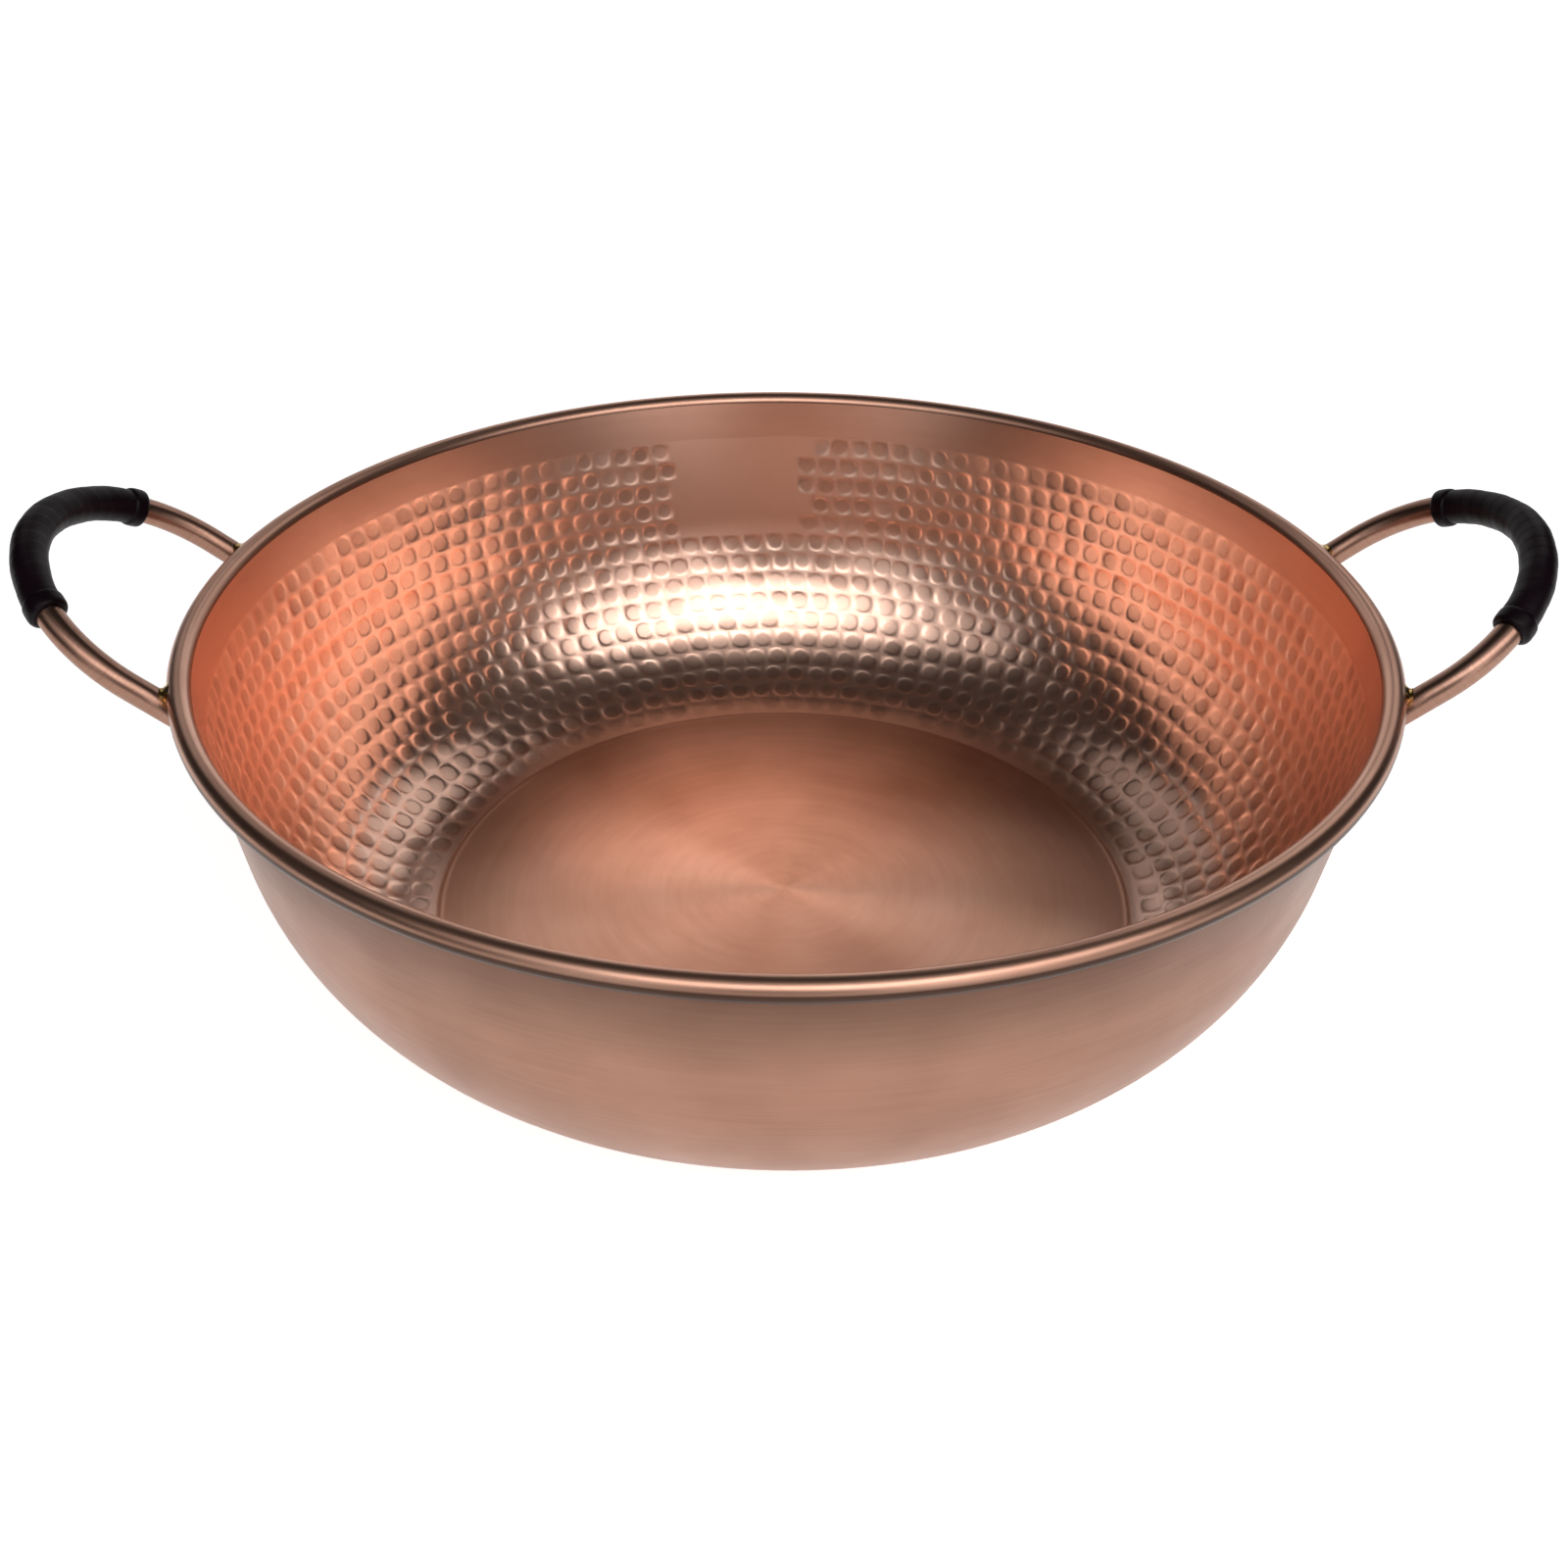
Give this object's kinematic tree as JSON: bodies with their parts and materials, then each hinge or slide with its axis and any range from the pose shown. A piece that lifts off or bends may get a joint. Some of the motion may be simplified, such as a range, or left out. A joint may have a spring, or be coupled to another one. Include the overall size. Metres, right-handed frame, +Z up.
{
  "type": "copper jam pan",
  "caption": "Wide round copper jam pan with a hammered inside, a rolled rim and two raised loop handles with black wrapped grips.",
  "frame": {"origin": "middle of the flat base, on the surface that the pan stands on", "axes": "+Z up; +X through the right handle's crown, so the two handles lie on the X axis; +Y to the rear, away from the viewer of the picture"},
  "size_m": [0.4964, 0.4, 0.1516],
  "materials": {
    "copper_sheet": "hammered inside, spun satin floor and brushed outside, copper",
    "steel_wire": "plain drawn wire, hidden in the rolled rim",
    "copper_rod": "drawn and polished copper rod",
    "black_wrap": "black wrap, satin",
    "black_band": "black binding, satin",
    "brass_braze": "brass-coloured filler metal, as flowed"
  },
  "bodies": {
    "root": {"bowl": "copper_sheet", "rim_wire": "steel_wire", "left_handle_rod": "copper_rod", "left_grip_wrap": "black_wrap", "left_front_braze": "brass_braze", "left_front_band": "black_band", "left_rear_braze": "brass_braze", "left_rear_band": "black_band", "right_handle_rod": "copper_rod", "right_grip_wrap": "black_wrap", "right_front_braze": "brass_braze", "right_front_band": "black_band", "right_rear_braze": "brass_braze", "right_rear_band": "black_band"}
  },
  "joints": []
}
